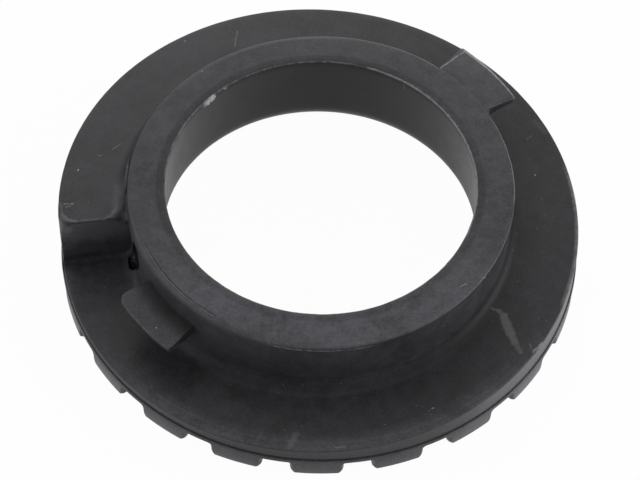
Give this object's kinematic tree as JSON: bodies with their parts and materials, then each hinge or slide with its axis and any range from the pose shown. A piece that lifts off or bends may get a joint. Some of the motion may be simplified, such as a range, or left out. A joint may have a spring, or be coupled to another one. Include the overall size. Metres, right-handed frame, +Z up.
{
  "type": "coil spring spacer",
  "caption": "Moulded rubber coil spring seat: a tall collar, a helical shelf with an end stop for the coil, lips that hold the coil down, and pads around the underside.",
  "frame": {"origin": "on the bore's axis, level with the undersides of the pads", "axes": "+Z up through the collar towards the spring; -Y is the side that faces the viewer in the picture; -X is close to the step that stops the coil's end"},
  "size_m": [0.1522, 0.1521, 0.032],
  "materials": {
    "rubber": "matte moulded black rubber, faintly grey and dusty, with mould flash lines and scuffed edges"
  },
  "bodies": {
    "root": {"spring_spacer": "rubber"}
  },
  "joints": []
}
